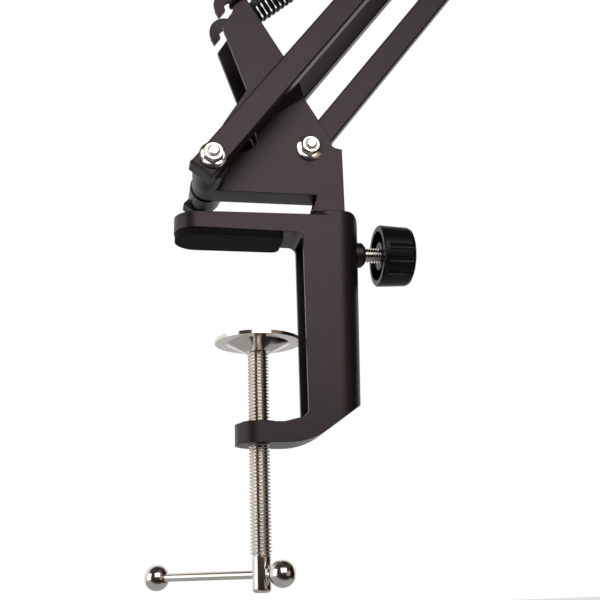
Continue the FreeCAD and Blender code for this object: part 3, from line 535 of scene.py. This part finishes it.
def bolts_at(name, spots, body, replaced):
    """Each bolt: its head on the far side, a plain shank, and its threaded end on the near side."""
    past_nut = 5.4 * MM
    threaded = 9.0 * MM
    shapes = []
    for spot, half in spots:
        tail = half + past_nut
        shapes.append(moved(bolt_head(), rest_on(spot, half, 1)))
        shank = lathe([(0, BOLT_RADIUS), (half + tail - threaded, BOLT_RADIUS)], 36)
        shapes.append(moved(shank, rest_on(spot, half, -1)))
        shapes.append(moved(bolt_end(threaded), rest_on(spot, -(tail - threaded), -1)))
    add_piece(name, solid_mesh(name, shapes, 28), "plated", body, replaced)


def make_fasteners():
    outer = [(PIVOT_A, BAR_OUTSIDE)]
    inner = [(PIVOT_B, CHANNEL)]
    elbow = [(ELBOW, BAR_OUTSIDE), (ELBOW_UP, BAR_OUTSIDE), (ELBOW_B, CHANNEL), (ELBOW_UP_B, CHANNEL)]
    head = [(HEAD, BAR_OUTSIDE), (HEAD_B, CHANNEL)]
    nuts_at("base_nut_outer", outer, "base", ["base_outer_nut"])
    nuts_at("base_nut_inner", inner, "base", ["base_inner_nut"])
    bolts_at("base_bolt_outer", outer, "base", ["base_outer_bolt"])
    bolts_at("base_bolt_inner", inner, "base", ["base_inner_bolt"])
    nuts_at("elbow_flange_nuts", elbow, "elbow", ["elbow_nuts"])
    bolts_at("elbow_pivot_bolts", elbow, "elbow", ["elbow_bolts"])
    nuts_at("head_flange_nuts", head, "head", ["head_nuts"])
    bolts_at("head_pivot_bolts", head, "head", ["head_bolts"])


# ---------------------------------------------------------------- threaded pieces

def make_clamp_screw():
    """The M8 thread with its neck inside the disc, and the plain end that the tommy bar crosses."""
    top, thread_low, end = -43.6 * MM, -117.2 * MM, -129.6 * MM
    rows, rule = thread_rows(thread_low, top, 3.98 * MM, 3.12 * MM, 1.25 * MM, 14)
    neck = [
        (top + 0.05 * MM, 1.95 * MM), (-42.12 * MM, 1.95 * MM), (-42.1 * MM, 3.15 * MM),
        (-41.6 * MM, 3.1 * MM), (-41.25 * MM, 2.3 * MM), (-41.2 * MM, 0.5 * MM),
    ]
    thread = solid_mesh("screw_thread", [lathe(rows + neck, 48, rule)], 60)
    add_piece("screw_thread", thread, "plated", "screw", ["clamp_screw"])

    plain = 3.4 * MM
    outline = [
        (end, 2.2 * MM), (end + 0.25 * MM, 2.8 * MM), (end + 0.8 * MM, plain - 0.12 * MM),
        (end + 1.3 * MM, plain), (thread_low - 0.3 * MM, plain), (thread_low, plain - 0.2 * MM),
    ]
    tail = add_piece("screw_tail", solid_mesh("screw_tail", [lathe(outline, 64)], 35), "plated", "screw")
    hole = 1.55 * MM
    across = Matrix.Rotation(TOMMY_TURN, 4, "Z") @ Matrix.Rotation(math.radians(90), 4, "Y")
    drill = bmesh.new()
    bmesh.ops.create_cone(
        drill, cap_ends=True, segments=40, radius1=hole, radius2=hole, depth=12 * MM,
        matrix=Matrix.Translation((0, 0, TOMMY_Z)) @ across,
    )
    carve(tail, drill)


def make_lock_stud():
    """The lock knob's M6 stud, along +X."""
    start, end = 36.0 * MM, 57.5 * MM
    rows, rule = thread_rows(0, end - start, 2.98 * MM, 2.45 * MM, 1.0 * MM)
    turn = Matrix.Translation((start, 0, LOCK_Z)) @ Matrix.Rotation(math.radians(90), 4, "Y")
    shape = moved(lathe(rows, 40, rule), turn)
    add_piece("lock_thread", solid_mesh("lock_thread", [shape], 60), "plated", "lock", ["lock_stud"])


def make_microphone_stud():
    """The 5/8 inch stud with 27 threads to the inch, along -X."""
    pitch = 25.4 / 27 * MM
    length = 12.0 * MM
    foot = (TILT[0] - 20.0 * MM, 0, TILT[1])
    rows, rule = thread_rows(0, length - 0.8 * MM, 7.92 * MM, 7.38 * MM, pitch)
    nose = [(length - 0.3 * MM, 7.2 * MM), (length, 6.8 * MM)]
    turn = Matrix.Translation(foot) @ Matrix.Rotation(math.radians(-90), 4, "Y")
    shape = moved(lathe(rows + nose, 72, rule), turn)
    add_piece("microphone_thread", solid_mesh("microphone_thread", [shape], 60), "plated", "tilt",
              ["mic_stud"])


# ---------------------------------------------------------------- springs

def wire_mesh(name, path):
    """A round wire along a path of points."""
    rings = []
    across = None
    for index, point in enumerate(path):
        ahead = (path[min(index + 1, len(path) - 1)] - path[max(index - 1, 0)]).normalized()
        if across is None:
            across = ahead.orthogonal().normalized()
        across = (across - ahead * across.dot(ahead)).normalized()
        upward = ahead.cross(across)
        ring = []
        for side in range(WIRE_SIDES):
            angle = 2 * math.pi * side / WIRE_SIDES
            outward = across * math.cos(angle) + upward * math.sin(angle)
            ring.append(point + outward * WIRE_RADIUS)
        rings.append(ring)
    return solid_mesh(name, [stack(rings)], 60)


def hook_points(coil_start):
    """In from the plate's outer side, across its slot, and back on the inner side to the coil."""
    spread = 2.3 * MM
    reach = 1.9 * MM
    points = [
        Vector((coil_start - 1.5 * MM, 3.6 * MM, 0)),
        Vector((coil_start - 3.0 * MM, spread + 0.4 * MM, 0)),
        Vector((coil_start - 5.0 * MM, spread, 0)),
        Vector((reach + 1.5 * MM, spread, 0)),
    ]
    for step in range(9):
        angle = math.pi / 2 + math.pi * step / 8
        points.append(Vector((reach + 1.4 * MM * math.cos(angle), spread * math.sin(angle), 0)))
    return points + [
        Vector((reach + 1.5 * MM, -spread, 0)),
        Vector((coil_start - 5.0 * MM, -spread, 0)),
        Vector((coil_start - 3.0 * MM, -spread - 0.5 * MM, 0)),
        Vector((coil_start - 1.2 * MM, -COIL_RADIUS * 0.88, 0)),
    ]


def coil_points(start, end):
    steps = round((end - start) / COIL_PITCH) * COIL_STEPS
    points = []
    for step in range(steps + 1):
        angle = math.pi + 2 * math.pi * step / COIL_STEPS
        height = start + (end - start) * step / steps
        points.append(Vector((height, COIL_RADIUS * math.cos(angle), COIL_RADIUS * math.sin(angle))))
    return points


def ring_points(coil_end, length):
    """In from the coil to the middle, then a ring round the pin."""
    points = [
        Vector((coil_end + 1.4 * MM, -COIL_RADIUS * 0.85, -COIL_RADIUS * 0.2)),
        Vector((coil_end + 3.0 * MM, -COIL_RADIUS * 0.4, 0)),
        Vector((coil_end + 4.6 * MM, -0.6 * MM, 0)),
    ]
    ring = PIN_RADIUS + 0.6 * MM
    width = 0.9 * MM
    for step in range(20):
        angle = math.pi + math.radians(330) * step / 19
        sideways = width * step / 19 - width / 2
        points.append(Vector((length + ring * math.cos(angle), sideways, ring * math.sin(angle))))
    return points


def spring_path(length):
    """The wire from the bracket's hook to the ring round the pin, in the spring's own frame.

    The spring runs along +X from the hook's seat at 0; Y crosses the plates."""
    start, end = SPRING_LOOP, length - SPRING_LOOP
    return hook_points(start) + coil_points(start, end) + ring_points(end, length)


def make_spring(section, hook, pivot, lean, anchor):
    """The two springs of one arm, on either side of its bracket.

    Each is two pieces, split a quarter of the way along the spring."""
    pin = along(pivot, anchor, lean)
    far = Vector((pin[0], 0, pin[1]))
    near = Vector((hook[0], 0, hook[1]))
    run = far - near
    length = run.length
    slant = math.atan2(run.z, run.x)
    path = spring_path(length)
    split = next(index for index, point in enumerate(path) if point.x > 0.25 * length)
    for side, sign in (("near", -1), ("far", 1)):
        turn = Matrix.Translation((hook[0], sign * SPRING_PLANE, hook[1]))
        turn = turn @ Matrix.Rotation(-slant, 4, "Y")
        points = [turn @ point for point in path]
        node = f"{section}_spring_{side}"
        first = add_piece(f"{node}_hook_end", wire_mesh(f"{node}_hook_end", points[:split + 1]),
                          "spring_steel", None, [node])
        second = add_piece(f"{node}_pin_end", wire_mesh(f"{node}_pin_end", points[split:]),
                           "spring_steel", None)
        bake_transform(first)
        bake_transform(second)


def make_springs():
    make_spring("lower", LOWER_HOOK, PIVOT_A, LOWER_LEAN, LOWER_ANCHOR)
    make_spring("upper", UPPER_HOOK, ELBOW_UP, UPPER_LEAN, UPPER_ANCHOR)


# ---------------------------------------------------------------- scene

make_camera()
make_world()
make_floor()
make_lights()
paint_nodes()
make_fasteners()
make_clamp_screw()
make_lock_stud()
make_microphone_stud()
make_springs()
